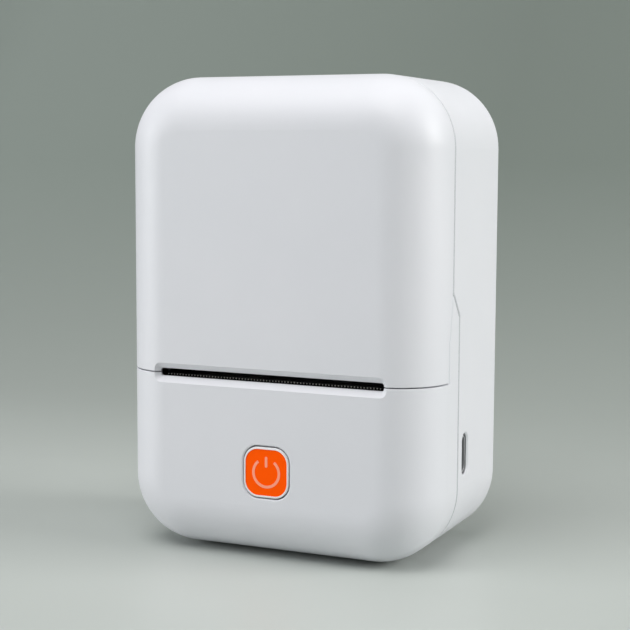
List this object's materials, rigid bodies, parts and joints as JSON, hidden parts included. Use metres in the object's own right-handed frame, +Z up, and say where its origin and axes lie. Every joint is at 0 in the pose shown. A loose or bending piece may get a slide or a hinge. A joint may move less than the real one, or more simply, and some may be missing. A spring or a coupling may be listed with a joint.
{
  "type": "portable label printer",
  "caption": "Palm-sized upright thermal label printer with a hinged front cover, an exit slot with a tear edge, a power button and a side charging socket",
  "frame": {"origin": "centre of the bounding box at its base, on the table under the feet", "axes": "+X towards the side with the charging socket, +Y towards the back, +Z up"},
  "size_m": [0.081, 0.05, 0.1146],
  "materials": {
    "white_shell": "satin cool white",
    "white_inner": "matte white",
    "black_plastic": "matte black",
    "grey_plastic": "matte dark grey",
    "orange_plastic": "satin orange",
    "icon_plastic": "satin light orange",
    "steel": "brushed",
    "nickel": "nickel plated",
    "aluminium": "drawn",
    "ceramic": "glazed",
    "rubber": "ground",
    "foot_rubber": "matte",
    "gear_plastic": "acetal",
    "board_green": "solder mask",
    "chip_black": "moulded",
    "battery_wrap": "film",
    "ribbon": "polyimide film",
    "brass": "turned"
  },
  "bodies": {
    "base": {"rear_shell": "white_shell", "front_shell": "white_shell", "hinge_pin": "steel", "idler_stud": "steel", "motor_body": "steel", "mechanism_frame": "steel", "tear_bar": "steel", "exit_guide": "black_plastic", "head_pivot_pin": "steel", "head_springs": "steel", "head_ribbon": "ribbon", "paper_sensor": "black_plastic", "lid_switch": "black_plastic", "media_tray": "white_inner", "pinion_peg": "steel", "main_board": "board_green", "board_parts": "chip_black", "usb_socket": "nickel", "usb_tongue": "black_plastic", "battery_pack": "battery_wrap", "button_switch": "black_plastic", "button_board": "board_green", "rubber_feet": "foot_rubber", "housing_screws": "steel"},
    "lid": {"lid_shell": "white_shell", "lid_carrier": "black_plastic", "lid_magnets": "nickel", "platen_bushes": "black_plastic"},
    "platen": {"platen_shaft": "steel", "platen_rubber": "rubber", "platen_gear": "gear_plastic"},
    "idler": {"idler_gear": "gear_plastic"},
    "motor_rotor": {"motor_shaft": "steel", "motor_pinion": "brass"},
    "print_head": {"head_sink": "aluminium", "head_strip": "ceramic"},
    "left_guide": {"guide_left": "grey_plastic", "rack_left": "grey_plastic"},
    "right_guide": {"guide_right": "grey_plastic", "rack_right": "grey_plastic"},
    "guide_wheel": {"guide_pinion": "gear_plastic"},
    "power_button": {"button_cap": "white_shell", "button_inlay": "orange_plastic", "button_icon": "icon_plastic"}
  },
  "joints": [
    {"name": "lid_hinge", "type": "hinge", "parent": "base", "child": "lid", "pos_m": [0, -0.0071, 0.1124], "axis": [-1, 0, 0], "range_deg": [0, 88]},
    {"name": "platen_spin", "type": "hinge", "parent": "lid", "child": "platen", "pos_m": [0, -0.0145, 0.0509], "axis": [1, 0, 0], "continuous": true},
    {"name": "idler_spin", "type": "hinge", "parent": "base", "child": "idler", "pos_m": [-0.032, -0.00898, 0.04256], "axis": [1, 0, 0], "continuous": true},
    {"name": "motor_spin", "type": "hinge", "parent": "base", "child": "motor_rotor", "pos_m": [-0.032, -0.008, 0.0301], "axis": [1, 0, 0], "continuous": true},
    {"name": "head_tilt", "type": "hinge", "parent": "base", "child": "print_head", "pos_m": [0, -0.00036, 0.04567], "axis": [1, 0, 0], "range_deg": [0, 3], "stiffness_Nm_per_rad": 0.12, "springref_deg": -1.15, "deforming": ["head_springs", "head_ribbon"]},
    {"name": "guide_left_slide", "type": "slide", "parent": "base", "child": "left_guide", "axis": [1, 0, 0], "range_m": [0, 0.012]},
    {"name": "guide_right_slide", "type": "slide", "parent": "base", "child": "right_guide", "axis": [-1, 0, 0], "range_m": [0, 0.012]},
    {"name": "guide_pinion_spin", "type": "hinge", "parent": "base", "child": "guide_wheel", "pos_m": [0, 0.007, 0.0634], "axis": [0, 0, 1], "range_deg": [-144, 0]},
    {"name": "button_press", "type": "slide", "parent": "base", "child": "power_button", "axis": [0, 1, 0], "range_m": [0, 0.0004], "stiffness_N_per_m": 900, "springref_m": -0.0004}
  ],
  "couplings": [
    {"joint": "idler_spin", "follows": "platen_spin", "ratio": -1.5},
    {"joint": "motor_spin", "follows": "platen_spin", "ratio": 4.75},
    {"joint": "guide_right_slide", "follows": "guide_left_slide", "ratio": 1},
    {"joint": "guide_pinion_spin", "follows": "guide_left_slide", "rad_per_m": -208.33}
  ]
}
